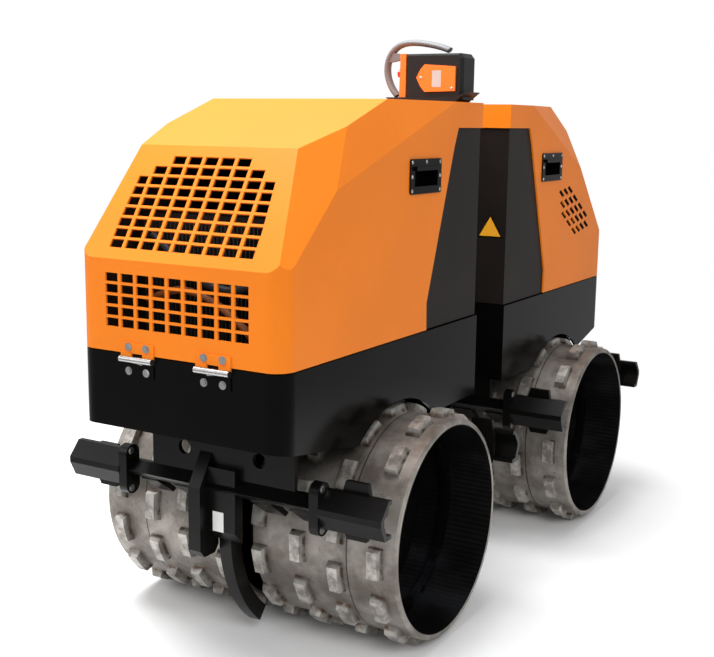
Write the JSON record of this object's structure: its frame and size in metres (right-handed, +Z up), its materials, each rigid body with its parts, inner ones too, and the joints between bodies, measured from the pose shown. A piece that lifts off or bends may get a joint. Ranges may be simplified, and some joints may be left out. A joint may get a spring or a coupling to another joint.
{
  "type": "articulated trench roller",
  "caption": "Remote-controlled articulated trench roller with padfoot drums on two hinged halves, folded metal hoods, scraper bars and a hand-held remote on top.",
  "frame": {"origin": "ground point under the centre of the whole machine", "axes": "+Z up, -Y towards the grille end, +X towards the side with the recessed drums seen in the picture"},
  "size_m": [0.894, 1.9956, 1.4702],
  "materials": {
    "orange_paint": "semi-gloss orange",
    "black_paint": "gloss black",
    "dark_paint": "satin dark grey",
    "drum_steel": "bare, worn and lightly rusted",
    "zinc_steel": "zinc plated",
    "polished_steel": "bright rod",
    "machined_steel": "machined",
    "engine_metal": "dark casting",
    "remote_black": "matt black",
    "remote_orange": "satin orange",
    "remote_red": "gloss red",
    "remote_grey": "matt grey"
  },
  "bodies": {
    "front_frame": {"front_chassis": "black_paint", "front_carrier": "black_paint", "front_hinge_lower": "zinc_steel", "front_scraper_outer": "black_paint", "front_scraper_inner": "black_paint", "front_scraper_ends": "black_paint", "front_guards": "black_paint", "steering_yoke": "black_paint", "steering_barrel": "black_paint", "engine": "engine_metal", "cooler": "dark_paint"},
    "front_drums": {"front_drum_left": "drum_steel", "front_drum_right": "drum_steel", "front_ring_left": "drum_steel", "front_ring_right": "drum_steel", "front_discs": "black_paint", "front_axle": "machined_steel"},
    "front_hood": {"front_hood": "orange_paint", "front_cowl": "dark_paint", "front_handles": "black_paint", "front_hinge_upper": "zinc_steel", "front_grille": "orange_paint", "remote_box": "remote_black", "remote_cover": "remote_orange", "remote_button": "remote_red", "remote_handle": "remote_grey"},
    "joint_block": {"joint_block": "machined_steel"},
    "steering_rod": {"steering_rod": "polished_steel"},
    "rear_frame": {"rear_chassis": "black_paint", "rear_carrier": "black_paint", "rear_hinge_lower": "zinc_steel", "rear_scraper_outer": "black_paint", "rear_scraper_inner": "black_paint", "rear_scraper_ends": "black_paint", "rear_guards": "black_paint", "joint_bearing": "black_paint", "tank": "black_paint"},
    "rear_drums": {"rear_drum_left": "drum_steel", "rear_drum_right": "drum_steel", "rear_ring_left": "drum_steel", "rear_ring_right": "drum_steel", "rear_discs": "black_paint", "rear_axle": "machined_steel"},
    "rear_hood": {"rear_hood": "orange_paint", "rear_cowl": "dark_paint", "rear_handles": "black_paint", "rear_hinge_upper": "zinc_steel"}
  },
  "joints": [
    {"name": "steering", "type": "hinge", "parent": "front_frame", "child": "joint_block", "pos_m": [0, 0.0485, 0.63], "axis": [0, 0, 1], "range_deg": [-30, 30]},
    {"name": "oscillation", "type": "hinge", "parent": "joint_block", "child": "rear_frame", "pos_m": [0, 0.0485, 0.63], "axis": [0, 1, 0], "range_deg": [-8, 8]},
    {"name": "front_drums_roll", "type": "hinge", "parent": "front_frame", "child": "front_drums", "pos_m": [0, -0.4815, 0.288], "axis": [1, 0, 0], "continuous": true},
    {"name": "rear_drums_roll", "type": "hinge", "parent": "rear_frame", "child": "rear_drums", "pos_m": [0, 0.5785, 0.288], "axis": [1, 0, 0], "continuous": true},
    {"name": "front_hood_lift", "type": "hinge", "parent": "front_frame", "child": "front_hood", "pos_m": [0, -0.9908, 0.73], "axis": [1, 0, 0], "range_deg": [0, 65]},
    {"name": "rear_hood_lift", "type": "hinge", "parent": "rear_frame", "child": "rear_hood", "pos_m": [0, 0.9908, 0.73], "axis": [-1, 0, 0], "range_deg": [0, 65]},
    {"name": "steering_stroke", "type": "slide", "parent": "front_frame", "child": "steering_rod", "axis": [1, 0, 0], "range_m": [-0.032, 0.032]}
  ],
  "couplings": [
    {"joint": "steering_stroke", "follows": "steering", "m_per_rad": 0.06}
  ]
}
